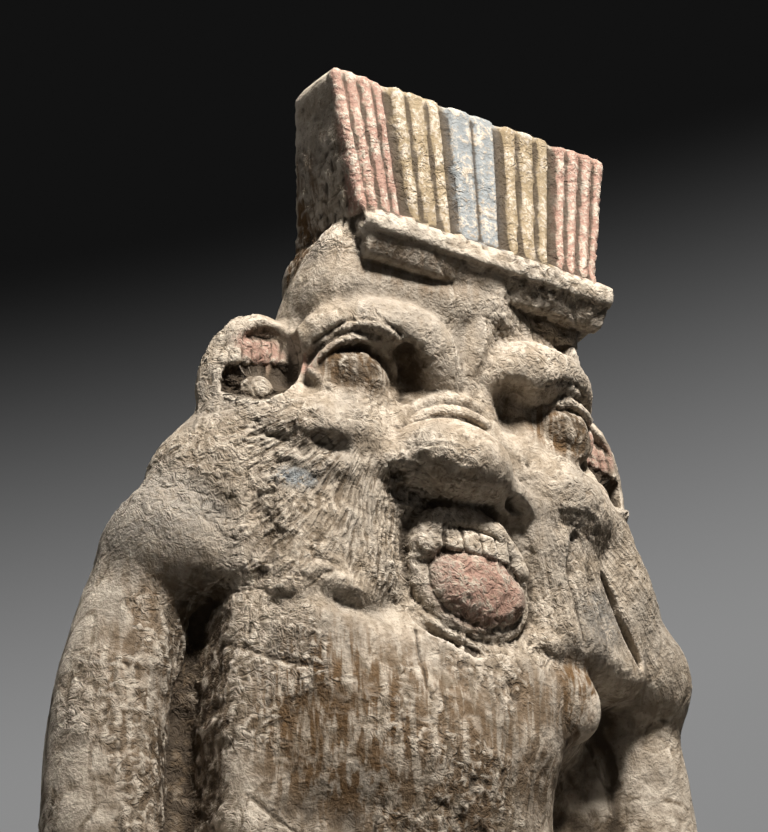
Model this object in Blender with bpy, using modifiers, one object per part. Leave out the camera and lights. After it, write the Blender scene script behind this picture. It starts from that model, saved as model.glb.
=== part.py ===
"""A squat lion-maned household god with a feather crown, carved from one block of limestone.

The figure is set out in millimetres from the middle of its underside, facing -Y with +Z up.
Its form is a list of touches: round masses, bars and slabs that are added or cut away in order,
each running softly into what was there. Primitives of the same masses are joined by a voxel
remesh, and the rough block is then settled onto the form, as a carver works in from the block.
"""

import math

import bmesh
import bpy
import numpy as np
from mathutils import Euler, Matrix

NAME = "bes_figure"
MM = 0.001

# Driving dimensions in millimetres
BASE_WIDTH = 450
BASE_DEPTH = 280
BASE_HEIGHT = 56
CROWN_FOOT = 781
CROWN_TOP = 916
CROWN_HALF_WIDTH = 121
CROWN_SPREAD = 1.18
LIST = 0.042
SWAY = 14
NECK = (480, 600)

# Feature centres, on the side of +X for what comes in pairs
NOSE = (-12, -86, 584)
CHEEK = (114, -66, 594)
MOUTH = (0, -84, 497)
EAR = (172, -38, 645)
BREAST = (110, -58, 424)
SHOULDER = (232, 38, 484)
ELBOW = (264, 44, 206)
HAND = (148, -88, 176)
KNEE = (156, -48, 150)
ANKLE = (124, 8, 86)

# The hair fans out from a point above each cheek, in grooves this many degrees apart
FAN = (60, 650)
LOCK_ANGLE = 7
LOCK_DEPTH = 4
HEM = 464

# Where the feathers part, as shares of the crown's half width, and the strands in each
# Where the feathers part, as shares of the crown's half width, and the strands in each
FEATHER_EDGES = (-1, -0.60, -0.19, 0.20, 0.60, 1)
FEATHER_STRANDS = (4, 3, 2, 3, 4)

# How the block is worked
CELL = 150
COARSE_VOXEL = 8
FINE_VOXEL = 4.2
TRIANGLES = 9000
STONE_COLOUR = (0.52, 0.45, 0.36, 1)


def turned(degrees):
    return np.array(Euler([math.radians(d) for d in degrees]).to_matrix())


def placed(at, point):
    return np.add(at, point).astype(float)


def eased(values, low, high):
    share = np.clip((values - low) / (high - low), 0, 1)
    return share * share * (3 - 2 * share)


def lean(points, way):
    """The head sits to one side, and the figure stands a little higher on its right hand."""
    out = points.copy()
    out[:, 0] += way * SWAY * eased(points[:, 2], *NECK)
    out[:, 2] += way * LIST * points[:, 0] * eased(points[:, 2], BASE_HEIGHT, BASE_HEIGHT + 300)
    return out


def curved(stations):
    """The stations with two more on a smooth curve between each pair."""
    if len(stations) < 3:
        return stations
    ends = [2 * stations[0] - stations[1], *stations, 2 * stations[-1] - stations[-2]]
    result = []
    for before, start, end, after in zip(ends, ends[1:], ends[2:], ends[3:]):
        for share in (0, 1 / 3, 2 / 3):
            pull_start = (end - before) / 2 * share * (1 - share) ** 2
            pull_end = (after - start) / 2 * share**2 * (share - 1)
            result.append(start + (end - start) * share**2 * (3 - 2 * share) + pull_start + pull_end)
    return [*result, stations[-1]]


def placed_copy(shape, place):
    copy = shape.copy()
    bmesh.ops.transform(copy, matrix=place, verts=copy.verts)
    return copy


class Lump:
    """An egg-shaped mass of three radii."""

    def __init__(self, centre, radii, turn=(0, 0, 0), at=(0, 0, 0)):
        self.centre = placed(at, centre)
        self.radii = np.array(radii, float)
        self.axes = turned(turn)
        self.reach = max(radii)

    def distance(self, points):
        local = (points - self.centre) @ self.axes
        near = np.linalg.norm(local / self.radii, axis=1)
        slope = np.linalg.norm(local / self.radii**2, axis=1)
        return near * (near - 1) / np.maximum(slope, 1e-6)

    def rough(self, ball):
        place = Matrix.Translation(self.centre) @ Matrix(self.axes.tolist()).to_4x4()
        return [placed_copy(ball, place @ Matrix.Diagonal((*self.radii, 1)))]


class Limb:
    """A round bar through stations of x, y, z and radius."""

    def __init__(self, *stations, at=(0, 0, 0)):
        self.stations = curved([placed((*at, 0), station) for station in stations])
        points = np.array([station[:3] for station in self.stations])
        self.centre = (points.min(0) + points.max(0)) / 2
        self.reach = max(np.linalg.norm(s[:3] - self.centre) + s[3] for s in self.stations)

    def distance(self, points):
        nearest = np.full(len(points), 1e3)
        for start, end in zip(self.stations, self.stations[1:]):
            along = end - start
            offset = points - start[:3]
            share = np.clip(offset @ along[:3] / (along[:3] @ along[:3]), 0, 1)
            gap = np.linalg.norm(offset - share[:, None] * along[:3], axis=1)
            nearest = np.minimum(nearest, gap - start[3] - share * along[3])
        return nearest

    def rough(self, ball):
        copies = []
        for start, end in zip(self.stations, self.stations[1:]):
            length = np.linalg.norm(end[:3] - start[:3])
            count = 1 + int(length / max(0.5 * min(start[3], end[3]), COARSE_VOXEL))
            for share in np.arange(count) / count:
                x, y, z, radius = start + share * (end - start)
                size = max(radius, 0.6 * COARSE_VOXEL)
                place = Matrix.Translation((x, y, z)) @ Matrix.Diagonal((size, size, size, 1))
                copies.append(placed_copy(ball, place))
        return copies


class Slab:
    """A box with rounded edges, whose top is wider or narrower and shifted along y by shift."""

    def __init__(self, centre, half, edge, turn=(0, 0, 0), top=(1, 1), shift=0, at=(0, 0, 0)):
        self.centre = placed(at, centre)
        self.half = np.array(half, float)
        self.edge = edge
        self.axes = turned(turn)
        self.top = top
        self.shift = shift
        self.reach = float(np.linalg.norm(half)) * max(1, *top) + abs(shift)

    def distance(self, points):
        local = (points - self.centre) @ self.axes
        rise = np.clip(local[:, 2] / self.half[2], -1, 1) * 0.5 + 0.5
        half = np.tile(self.half, (len(local), 1))
        half[:, 0] *= 1 + (self.top[0] - 1) * rise
        half[:, 1] *= 1 + (self.top[1] - 1) * rise
        local[:, 1] -= self.shift * rise
        outside = np.abs(local) - half + self.edge
        beyond = np.linalg.norm(np.maximum(outside, 0), axis=1)
        return beyond + np.minimum(outside.max(1), 0) - self.edge

    def rough(self, ball):
        block = bmesh.new()
        for corner in bmesh.ops.create_cube(block, size=2)["verts"]:
            upper = corner.co.z > 0
            wide, deep = self.top if upper else (1, 1)
            x = corner.co.x * self.half[0] * wide
            y = corner.co.y * self.half[1] * deep + self.shift * upper
            corner.co = (x, y, corner.co.z * self.half[2])
        place = Matrix.Translation(self.centre) @ Matrix(self.axes.tolist()).to_4x4()
        bmesh.ops.transform(block, matrix=place, verts=block.verts)
        return [block]


def ring(centre, oval, radius, span=(0, 360), bow=0, steps=16):
    """A round bar bent into an upright oval; bow sets its sides back."""
    stations = []
    for degrees in np.linspace(*span, steps + 1):
        across = math.cos(math.radians(degrees))
        up = math.sin(math.radians(degrees))
        stations.append((across * oval[0], bow * across * across, up * oval[1], radius))
    return Limb(*stations, at=centre)


def least(first, second, blend):
    """The lesser of two distances, eased over the width of the blend where they are near."""
    if not blend:
        return np.minimum(first, second)
    overlap = np.maximum(blend - np.abs(first - second), 0) / blend
    return np.minimum(first, second) - overlap * overlap * blend / 4


class Stone:
    """The carved form: masses added and cut away in order."""

    def __init__(self):
        self.touches = []
        self.reliefs = []

    def add(self, mass, blend=10, both=False):
        self.touches.append((1, mass, blend, both))

    def cut(self, mass, blend=4, both=False):
        self.touches.append((-1, mass, blend, both))

    def distance(self, points):
        """How far each point is outside the form, worked out cell by cell."""
        upright = lean(points, 1)
        keys = np.floor(upright / CELL).astype(int) @ (1, 1000, 1000000)
        order = np.argsort(keys, kind="stable")
        result = np.empty(len(points))
        for group in np.split(order, np.flatnonzero(np.diff(keys[order])) + 1):
            result[group] = self.cell_distance(upright[group])
        return result - sum(relief(upright) for relief in self.reliefs)

    def cell_distance(self, points):
        middle = points.mean(0)
        reach = np.linalg.norm(points - middle, axis=1).max()
        folded = points * (1, 1, 1)
        folded[:, 0] = np.abs(folded[:, 0])
        result = np.full(len(points), 100.0)
        for way, mass, blend, both in self.touches:
            centre = mass.centre * (math.copysign(1, middle[0]) if both else 1, 1, 1)
            if np.linalg.norm(centre - middle) > mass.reach + reach + blend + 40:
                continue
            own = mass.distance(folded if both else points)
            result = way * least(way * result, own, blend)
        return result

    def rough(self):
        """A mesh of all the masses that were added, each closed in itself."""
        ball = bmesh.new()
        bmesh.ops.create_icosphere(ball, subdivisions=2, radius=1)
        whole = bmesh.new()
        shape = bpy.data.meshes.new("mass")
        for way, mass, blend, both in self.touches:
            if way < 0:
                continue
            for copy in mass.rough(ball):
                copy.to_mesh(shape)
                whole.from_mesh(shape)
                if both:
                    shape.transform(Matrix.Diagonal((-1, 1, 1, 1)))
                    whole.from_mesh(shape)
                copy.free()
        mesh = bpy.data.meshes.new(NAME)
        whole.to_mesh(mesh)
        whole.free()
        ball.free()
        bpy.data.meshes.remove(shape)
        return mesh


def base(stone):
    half = (BASE_WIDTH / 2, BASE_DEPTH / 2, BASE_HEIGHT)
    stone.add(Slab((0, 0, 0), half, 5), 0)


def torso(stone):
    """Chest, fat belly and the web of stone left behind the body and arms."""
    stone.add(Slab((0, 64, 350), (240, 42, 175), 34, top=(0.92, 0.9)), 10)
    stone.add(Slab((0, 60, 440), (214, 42, 80), 20), 12)
    stone.add(Lump((0, 16, 452), (176, 92, 105)), 24)
    stone.add(Slab((-52, -8, 352), (144, 42, 112), 24), 14)
    stone.add(Lump((-34, 0, 350), (138, 108, 108)), 50)
    stone.add(Lump((-6, 22, 275), (138, 98, 74)), 30)
    stone.add(Slab((-28, -24, 402), (118, 62, 62), 44, top=(1.3, 1)), 30)
    stone.add(Lump((0, 0, 0), (30, 20, 33), at=BREAST), 14)
    stone.add(Lump((-27, -84, 388), (14, 11, 18)), 4)
    stone.cut(Lump((168, -36, 458), (12, 24, 14)), 8)
    stone.cut(Lump((0, -106, 300), (8, 12, 9)), 5)


def legs(stone):
    """Short bowed legs with broad feet, and the lion's tail hanging behind them."""
    stone.add(Slab((0, 56, 150), (150, 34, 110), 24), 16)
    stone.add(Limb((94, 26, 256, 78), (138, -20, 184, 66), (*KNEE, 55)), 20, both=True)
    stone.add(Limb((*KNEE, 53), (146, 4, 120, 48), (*ANKLE, 34), (122, 22, 66, 30)), 14, both=True)
    stone.add(Limb((122, 30, 70, 28), (132, -40, 66, 27), (142, -104, 60, 20)), 10, both=True)
    stone.add(Limb((0, -20, 230, 18), (0, 0, 170, 15), (0, 4, 100, 15), (0, -2, 62, 20)), 8)


def toes(stone):
    for index in range(5):
        x = 118 + 12 * index
        stone.add(Limb((x, -106, 64, 9), (x + 2, -122 + 2 * index, 62, 8)), 3, both=True)


def arms(stone):
    """Heavy arms, bent at the elbow to set the hands on the thighs."""
    x, y, z = SHOULDER
    upper = ((x - 4, y, z + 6, 44), (x + 17, y + 6, z - 70, 46), (x + 30, y + 8, z - 150, 48), (*ELBOW, 48))
    stone.add(Limb(*upper), 10, both=True)
    fore = ((*ELBOW, 48), (238, -6, 198, 43), (194, -60, 190, 32), (166, -80, 188, 27))
    stone.add(Limb(*fore), 12, both=True)


def hands(stone):
    stone.add(Lump((0, 0, 0), (40, 20, 28), turn=(0, 0, 30), at=HAND), 8, both=True)
    for index in range(4):
        height = 18 - 13 * index
        stone.add(Limb((-14, -16, height, 8), (-50, -16, height - 4, 7), at=HAND), 3, both=True)
    stone.add(Limb((-6, -10, 26, 9), (-30, -14, 36, 8), at=HAND), 3, both=True)


def skull(stone):
    """The broad front of the face, rounding back to one side, under a low forehead."""
    stone.add(Lump((0, -16, 650), (142, 76, 122)), 10)
    stone.add(Slab((0, -42, 668), (116, 46, 84), 34, top=(0.98, 0.96)), 26)
    stone.add(Slab((-38, -52, 747), (88, 54, 32), 22, turn=(0, 0, -6)), 12)
    stone.add(Slab((46, -46, 743), (84, 50, 32), 24, turn=(0, 0, 16)), 14)
    stone.add(Lump((-112, -58, 722), (28, 38, 36)), 14)
    stone.add(Slab((0, -44, 585), (118, 42, 60), 36, top=(1.0, 1.06)), 30)


def crown(stone):
    """A slab of feathers that spreads upwards, over a thin projecting band."""
    middle = (CROWN_FOOT + CROWN_TOP) / 2
    half_height = (CROWN_TOP - CROWN_FOOT) / 2
    half = (CROWN_HALF_WIDTH - 4, 54, half_height)
    stone.add(Slab((2, -56, 742), (116, 43, 62), 8), 12)
    stone.add(Slab((3, -67, middle), half, 4, top=(CROWN_SPREAD, 0.6), shift=-8), 0)
    stone.add(Slab((12, -82, 756), (116, 31, 11), 3, top=(1.04, 1.4)), 3)
    stone.add(Slab((12, -92, 772), (122, 36, 10), 5), 2)
    stone.cut(Lump((-116, -128, 758), (15, 13, 12), turn=(0, 20, 0)), 5)
    stone.cut(Lump((-62, -134, 757), (34, 10, 9)), 5)


def feathers(stone):
    """Deep grooves between the five feathers, and shallow ones that split each into strands."""
    foot = -122
    top = -107
    for start, end, strands in zip(FEATHER_EDGES, FEATHER_EDGES[1:], FEATHER_STRANDS):
        for part in range(strands):
            across = (start + part / strands * (end - start)) * CROWN_HALF_WIDTH
            radius = 3.5 if part else 6.5
            if across > -0.98 * CROWN_HALF_WIDTH:
                low = (across + 3, foot, CROWN_FOOT - 4, radius)
                high = (across * CROWN_SPREAD + 3, top, CROWN_TOP + 8, radius)
                stone.cut(Limb(low, high), 2)


def brows(stone):
    """Swollen brows that fold down to the root of the nose, parted by a narrow lobe."""
    near = ((-24, -82, 652, 20), (-29, -89, 671, 26), (-46, -92, 688, 30), (-86, -90, 691, 26))
    stone.add(Limb(*near, (-116, -80, 686, 20), (-136, -61, 670, 13)), 6)
    far = ((22, -82, 670, 13), (36, -89, 685, 22), (62, -90, 692, 29), (94, -85, 702, 24))
    stone.add(Limb(*far, (120, -74, 704, 20), (136, -62, 694, 14)), 5)
    stone.add(Limb((14, -96, 732, 15), (10, -97, 702, 14), (4, -92, 676, 12), (1, -84, 658, 12)), 5)
    crease = ((-118, -100, 708, 2), (-102, -108, 716, 4), (-78, -113, 721, 5), (-50, -115, 722, 5))
    stone.cut(Limb(*crease, (-24, -114, 714, 4)), 8)
    stone.cut(Limb((26, -112, 708, 5), (60, -108, 727, 6), (94, -101, 728, 6), (122, -90, 719, 5)), 6)
    stone.cut(Limb((-22, -120, 708, 5), (-15, -115, 690, 5), (-9, -107, 664, 5)), 4)
    stone.cut(Limb((30, -114, 718, 4), (23, -112, 700, 5), (12, -105, 668, 5)), 4)
    stone.cut(Limb((-62, -104, 670, 7), (-58, -99, 656, 9), (-60, -95, 638, 8)), 14)
    stone.cut(Lump((46, -108, 650), (15, 24, 22)), 10)


def eyes(stone):
    """Worn balls between a heavy upper lid, creased above, and a soft lower one."""
    stone.cut(Lump((-99, -110, 652), (38, 14, 25), turn=(-8, 0, -12)), 8)
    stone.cut(Lump((106, -107, 660), (37, 14, 24), turn=(-8, -10, 16)), 8)
    stone.add(Lump((-99, -76, 646), (34, 26, 27), turn=(0, 6, -12)), 4)
    stone.add(Lump((106, -73, 655), (34, 25, 25), turn=(0, -12, 16)), 4)
    near_upper = ((-136, -78, 645, 3), (-127, -90, 661, 3.5), (-108, -98, 672, 4), (-85, -99, 674, 4))
    near_lower = ((-136, -78, 642, 4), (-118, -87, 627, 5), (-96, -91, 623, 6), (-72, -89, 630, 5))
    stone.add(Limb(*near_lower, (-61, -82, 644, 4)), 8)
    stone.add(Limb(*near_upper, (-65, -90, 662, 3.5), (-61, -82, 644, 3)), 3)
    far_upper = ((69, -80, 645, 3), (76, -88, 662, 3.5), (100, -94, 676, 4), (122, -88, 679, 4))
    far_lower = ((69, -80, 642, 4), (86, -88, 629, 5), (114, -86, 635, 6), (134, -76, 650, 5))
    stone.add(Limb(*far_lower, (144, -70, 670, 4)), 8)
    stone.add(Limb(*far_upper, (142, -74, 676, 4), (148, -62, 668, 4)), 3)


def nose(stone):
    """A broad flat nose with wrinkles over its bulb and wide nostrils."""
    stone.add(Limb((8, 6, 74, 15), (6, 6, 50, 22), at=NOSE), 8)
    outer = ((-46, -6, 34, 5), (-30, -10, 48, 6), (-7, -13, 58, 7), (18, -11, 61, 6), (44, 0, 59, 5))
    stone.add(Limb(*outer, at=NOSE), 3)
    inner = ((-42, -9, 28, 4), (-26, -14, 40, 5), (-1, -18, 47, 6), (24, -14, 48, 5), (42, -5, 47, 4))
    stone.add(Limb(*inner, at=NOSE), 2)
    stone.add(Lump((0, -4, 6), (54, 44, 34), at=NOSE), 2)
    stone.add(Lump((-4, -18, -2), (50, 33, 27), at=NOSE), 12)
    stone.add(Limb((-38, -10, -2, 22), (-56, -9, -12, 17), (-66, -4, -19, 12), at=NOSE), 5)
    stone.add(Limb((34, -8, -3, 22), (60, -5, -9, 16), (77, 1, -13, 12), at=NOSE), 5)
    stone.cut(Lump((-60, -24, -24), (9, 13, 7), at=NOSE), 6)
    stone.cut(Lump((58, -18, -20), (13, 12, 6), turn=(0, 10, 0), at=NOSE), 5)
    stone.cut(Limb((-78, -16, 22, 3), (-88, -12, 0, 5), (-90, -10, -24, 6), at=NOSE), 5)
    stone.cut(Limb((74, -10, 24, 2), (90, -8, 4, 4), (94, -6, -16, 4), at=NOSE), 5)


def cheeks(stone):
    """Hanging pouches under the eyes; the near one ends in a rolled rim that is broken."""
    x, y, z = CHEEK
    near = (-x, y, z)
    stone.add(Lump((0, 0, 0), (54, 38, 34), turn=(0, 0, 20), at=CHEEK), 16, both=True)
    stone.add(Limb((34, -20, -24, 5), (6, -24, -34, 6), (-26, -13, -35, 6), (-50, 6, -24, 5), at=near), 10)
    stone.cut(Limb((20, -42, -24, 4), (-2, -43, -26, 5), (-28, -31, -25, 4), at=near), 6)
    stone.cut(Lump((-128, -98, 574), (19, 13, 10), turn=(0, 10, -20)), 5)
    stone.cut(Limb((-36, -36, -34, 2), (0, -36, -42, 5), (34, -24, -42, 5), at=CHEEK), 8)


def mouth(stone):
    """An open mouth: a thick lip all round, a row of teeth and a broad tongue."""
    stone.add(Lump((0, 22, 4), (66, 26, 70), at=MOUTH), 10)
    near = ((-60, -4, 24, 4), (-66, -2, 0, 8), (-61, -2, -30, 8), (-42, -2, -56, 6), (0, -4, -68, 4))
    stone.cut(Limb(*near, at=MOUTH), 4)
    stone.cut(Limb((56, -6, 54, 4), (64, -4, 20, 6), (62, -4, -10, 7), (50, -4, -42, 6), at=MOUTH), 4)
    stone.add(Lump((0, 10, 0), (58, 18, 56), at=MOUTH), 2)
    stone.add(ring(MOUTH, (48, 47), 10, bow=6), 2)
    x, y, z = MOUTH
    stone.add(ring((x, y - 6, z + 1), (46, 44), 14, span=(22, 158), bow=8), 6)
    stone.cut(Lump((0, -16, -4), (43, 14, 38), at=MOUTH), 2)
    stone.add(Lump((1, -6, -12), (44, 17, 33), at=MOUTH), 1.5)


def teeth(stone):
    """A row of worn upper teeth, nearly flush with the lip."""
    for index in range(6):
        across = (index - 2.5) / 2.5
        place = (38 * across, -12 + 9 * across * across, 23)
        stone.add(Slab(place, (7.2, 9, 9), 3, turn=(0, 0, 16 * across), at=MOUTH), 0.5)


def ears(stone):
    """Round lion's ears: a rolled rim, a deep cup, a fringe of hair and a lobe."""
    tilt = (0, -20, 22)
    stone.add(Lump((0, 6, 2), (37, 20, 57), turn=tilt, at=EAR), 8, both=True)
    stone.cut(Lump((-5, -14, -1), (30, 24, 50), turn=tilt, at=EAR), 3, both=True)
    stone.add(Lump((-7, -3, -18), (15, 15, 16), at=EAR), 2, both=True)
    for index in range(6):
        x = -32 + 9 * index
        z = 33 - 2 * index
        stone.add(Limb((x, -2, z, 4.5), (x + 2, -4, z - 15, 4.5), at=EAR), 1, both=True)


def mane(stone):
    """The mane falls from the temples beside the face, over the shoulders and round the mouth."""
    temple = ((112, -30, 724, 20), (124, -34, 684, 26), (138, -36, 640, 34), (162, -26, 600, 42))
    stone.add(Limb(*temple, (192, -4, 556, 44)), 14, both=True)
    stone.add(Limb((188, -4, 552, 44), (214, 8, 508, 46)), 16, both=True)
    stone.add(Slab((132, -26, 518), (66, 44, 62), 22, turn=(0, 0, 20)), 14, both=True)
    stone.add(Slab((98, -46, 522), (40, 38, 62), 20, turn=(0, 0, 10)), 14, both=True)
    stone.add(Slab((186, -4, 508), (50, 30, 44), 20, turn=(0, 0, 24)), 14, both=True)
    stone.add(Slab((-122, -48, 508), (46, 38, 58), 22, turn=(0, 0, -14)), 14)
    stone.add(Limb((-176, -20, 486, 18), (-206, -10, 494, 20)), 12)
    stone.add(Lump((-112, -78, 458), (23, 15, 12), turn=(0, 15, 0)), 8)
    stone.add(Lump((-158, -62, 454), (17, 11, 9), turn=(0, -10, 0)), 8)
    stone.add(Lump((76, -74, 462), (17, 14, 13), turn=(0, 20, 0)), 8)
    stone.add(Lump((242, 14, 500), (40, 38, 44)), 24)
    stone.add(Lump((-224, 14, 494), (44, 42, 40)), 24)
    stone.cut(Limb((107, -80, 560, 4), (99, -83, 522, 7), (113, -80, 474, 6)), 4)
    stone.cut(Limb((152, -66, 542, 4), (168, -60, 512, 7), (190, -53, 484, 5)), 4)
    stone.cut(Limb((124, -78, 530, 3), (138, -70, 496, 5)), 4)


def locks(points):
    """Grooves between the locks of the mane, fanning out from above the cheeks to its hem."""
    across = np.abs(points[:, 0])
    height = points[:, 2]
    angle = np.degrees(np.arctan2(across - FAN[0], FAN[1] - height))
    groove = (0.5 - 0.5 * np.cos(2 * np.pi * angle / LOCK_ANGLE)) ** 0.5
    under_cheek = 546 + 0.55 * np.maximum(across - 100, 0)
    within = eased(height, HEM - 12, HEM + 12) * eased(-height, -under_cheek, 20 - under_cheek)
    within *= eased(across, 66, 74) * eased(-across, -240, -215) * eased(-points[:, 1], -40, 0)
    return (groove - 1) * LOCK_DEPTH * within


def carved():
    stone = Stone()
    body = (base, torso, legs, toes, arms, hands)
    head = (mane, skull, crown, feathers, brows, eyes, nose, cheeks, mouth, teeth, ears)
    for work in body + head:
        work(stone)
    stone.reliefs.append(locks)
    return stone


def read_points(mesh):
    values = np.empty(len(mesh.vertices) * 3, np.float32)
    mesh.vertices.foreach_get("co", values)
    return values.reshape(-1, 3).astype(float)


def write_points(mesh, points):
    mesh.vertices.foreach_set("co", points.astype(np.float32).ravel())
    mesh.update()


def apply_modifiers(figure):
    graph = bpy.context.evaluated_depsgraph_get()
    worked = bpy.data.meshes.new_from_object(figure.evaluated_get(graph))
    figure.modifiers.clear()
    before = figure.data
    figure.data = worked
    bpy.data.meshes.remove(before)


def remesh(figure, voxel):
    grain = figure.modifiers.new("grain", "REMESH")
    grain.mode = "VOXEL"
    grain.voxel_size = voxel
    apply_modifiers(figure)


def relaxed(points, ends):
    """Each point moved halfway to the middle of its neighbours."""
    count = np.bincount(ends.ravel(), minlength=len(points))[:, None]
    total = np.zeros_like(points)
    for axis in range(3):
        column = points[:, axis]
        total[:, axis] += np.bincount(ends[:, 0], column[ends[:, 1]], len(points))
        total[:, axis] += np.bincount(ends[:, 1], column[ends[:, 0]], len(points))
    return (points + total / np.maximum(count, 1)) / 2


def settle(figure, stone, steps):
    """Moves the rough mesh onto the form, spreading its points evenly on the way."""
    mesh = figure.data
    ends = np.empty(len(mesh.edges) * 2, np.int32)
    mesh.edges.foreach_get("vertices", ends)
    ends = ends.reshape(-1, 2)
    points = read_points(mesh)
    for step in range(steps):
        points = relaxed(points, ends)
        outside = stone.distance(points)
        slope = np.empty_like(points)
        for axis in range(3):
            beside = points.copy()
            beside[:, axis] += 0.5
            slope[:, axis] = stone.distance(beside) - outside
        slope /= np.maximum(np.linalg.norm(slope, axis=1), 0.25)[:, None]
        points -= slope * np.clip(outside, -10, 10)[:, None]
    write_points(mesh, points)


def carve(stone):
    mesh = stone.rough()
    write_points(mesh, lean(read_points(mesh), -1))
    figure = bpy.data.objects.new(NAME, mesh)
    bpy.context.scene.collection.objects.link(figure)
    remesh(figure, COARSE_VOXEL)
    settle(figure, stone, 6)
    remesh(figure, FINE_VOXEL)
    settle(figure, stone, 4)
    return figure


def cut_flat(figure):
    """Leaves the underside one flat face at the height of the floor."""
    mesh = bmesh.new()
    mesh.from_mesh(figure.data)
    parts = mesh.verts[:] + mesh.edges[:] + mesh.faces[:]
    bmesh.ops.bisect_plane(mesh, geom=parts, plane_co=(0, 0, 0), plane_no=(0, 0, -1), clear_outer=True)
    bmesh.ops.holes_fill(mesh, edges=[edge for edge in mesh.edges if edge.is_boundary])
    mesh.to_mesh(figure.data)
    mesh.free()


def thin_out(figure):
    """Leaves most of the triangles where the carving is fine: the face, then the front."""
    points = read_points(figure.data)
    face = eased(points[:, 2], 430, 520) * eased(-points[:, 1], 10, 60)
    front = eased(-points[:, 1], -40, 40)
    keep = figure.vertex_groups.new(name="keep")
    for level in range(5):
        chosen = np.flatnonzero(np.round(face * 3 + front).astype(int) == level)
        keep.add(chosen.tolist(), level / 5, "REPLACE")
    thin = figure.modifiers.new("thin", "DECIMATE")
    thin.ratio = TRIANGLES / (2 * len(points))
    thin.vertex_group = keep.name
    thin.invert_vertex_group = True
    thin.vertex_group_factor = 0.6
    thin.use_collapse_triangulate = True
    apply_modifiers(figure)


def stone_material():
    material = bpy.data.materials.new("limestone")
    material.use_nodes = True
    shader = material.node_tree.nodes["Principled BSDF"]
    shader.inputs["Base Color"].default_value = STONE_COLOUR
    shader.inputs["Roughness"].default_value = 0.9
    shader.inputs["Metallic"].default_value = 0
    return material


def main():
    for old in list(bpy.data.objects):
        bpy.data.objects.remove(old)
    figure = carve(carved())
    cut_flat(figure)
    thin_out(figure)
    write_points(figure.data, read_points(figure.data) * MM)
    figure.data.materials.append(stone_material())
    collection = bpy.data.collections.new(NAME)
    bpy.context.scene.collection.children.link(collection)
    bpy.context.scene.collection.objects.unlink(figure)
    collection.objects.link(figure)


if __name__ == "__main__":
    main()
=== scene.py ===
"""The weathered look of the lion-maned household god: one carved limestone block with traces of paint.

The fine form is set out like the solid's, in millimetres from the middle of the underside, facing -Y
with +Z up: masses that are added or cut away in order. A rough block of the same masses is joined by
a voxel remesh and settled onto the form. The worn surface is then pressed into it, and the paint, the
stains, the dirt and the painted shade and highlights are worked out for each place on it.
"""

import itertools
import math

import bmesh
import bpy
import numpy as np
from mathutils import Euler, Matrix, Vector


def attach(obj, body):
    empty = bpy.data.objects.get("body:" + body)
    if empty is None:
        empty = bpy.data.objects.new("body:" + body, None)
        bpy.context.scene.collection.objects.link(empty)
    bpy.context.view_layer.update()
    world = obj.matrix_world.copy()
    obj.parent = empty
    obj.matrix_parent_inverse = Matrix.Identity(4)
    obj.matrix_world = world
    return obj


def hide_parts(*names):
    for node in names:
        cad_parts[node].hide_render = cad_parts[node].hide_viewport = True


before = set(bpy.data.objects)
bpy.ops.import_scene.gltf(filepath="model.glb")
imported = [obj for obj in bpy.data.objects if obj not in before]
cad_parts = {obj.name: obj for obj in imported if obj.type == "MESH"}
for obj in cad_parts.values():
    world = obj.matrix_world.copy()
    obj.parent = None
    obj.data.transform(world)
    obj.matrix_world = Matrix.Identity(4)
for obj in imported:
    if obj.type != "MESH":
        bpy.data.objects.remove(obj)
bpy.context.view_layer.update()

MM = 0.001
# Driving dimensions in millimetres
BASE_WIDTH = 450
BASE_DEPTH = 280
BASE_HEIGHT = 56
CROWN_FOOT = 781
CROWN_TOP = 916
CROWN_HALF_WIDTH = 121
CROWN_SPREAD = 1.18
LIST = 0.042
SWAY = 14
NECK = (480, 600)

# Feature centres, on the side of +X for what comes in pairs
NOSE = (-12, -86, 584)
CHEEK = (114, -66, 594)
MOUTH = (0, -84, 497)
EAR = (172, -38, 645)
BREAST = (110, -58, 424)
SHOULDER = (232, 38, 484)
ELBOW = (264, 44, 206)
HAND = (148, -88, 176)
KNEE = (156, -48, 150)
ANKLE = (124, 8, 86)

# The hair fans out from a point on each temple, down to the hem of the mane
FAN = (60, 650)
HEM = 464
NEAR_STRAND = 2.3
FAR_STRAND = 2.8

# The front of the head and mane, where the mesh is finest
MASK_HALF_WIDTH = 236
MASK_BACK = -14
MASK_HEIGHTS = (428, 758)

# How the block is worked
CELL = 150
COARSE_VOXEL = 8
FINE_VOXEL = 3
TRIANGLES = 186000
NOISE_SIDE = 32

# Paint, and how the feathers divide the crown from the viewer's left, as shares of its half width
RED = (0.38, 0.21, 0.16)
OCHRE = (0.30, 0.225, 0.125)
BLUE = (0.235, 0.27, 0.29)
# pale buff for a painted highlight on the near shoulder
SHOULDER_HIGHLIGHT = (0.52, 0.47, 0.40)
FEATHER_EDGES = (-1, -0.60, -0.19, 0.20, 0.60, 1)
FEATHER_STRANDS = (4, 3, 2, 3, 4)
FEATHER_COLOURS = (RED, OCHRE, BLUE, OCHRE, RED)

# Stone, dirt and painted shade
# pale buff for raised edges: wear with a painted highlight
STONE_PALE = (0.66, 0.585, 0.485, 1)
STONE_LIGHT = (0.49, 0.42, 0.335, 1)
STONE_MID = (0.29, 0.235, 0.172, 1)
STONE_GREY = (0.27, 0.24, 0.20, 1)
STONE_DARK = (0.10, 0.069, 0.04, 1)
BROWN = (0.125, 0.07, 0.028, 1)
# dark brown for soot mixed with painted shade
SOOT_SHADE_BROWN = (0.06, 0.04, 0.022, 1)
# near black for the creases: painted shade mixed with dirt
CREASE_DIRT_SHADE = (0.04, 0.028, 0.017, 1)

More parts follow.
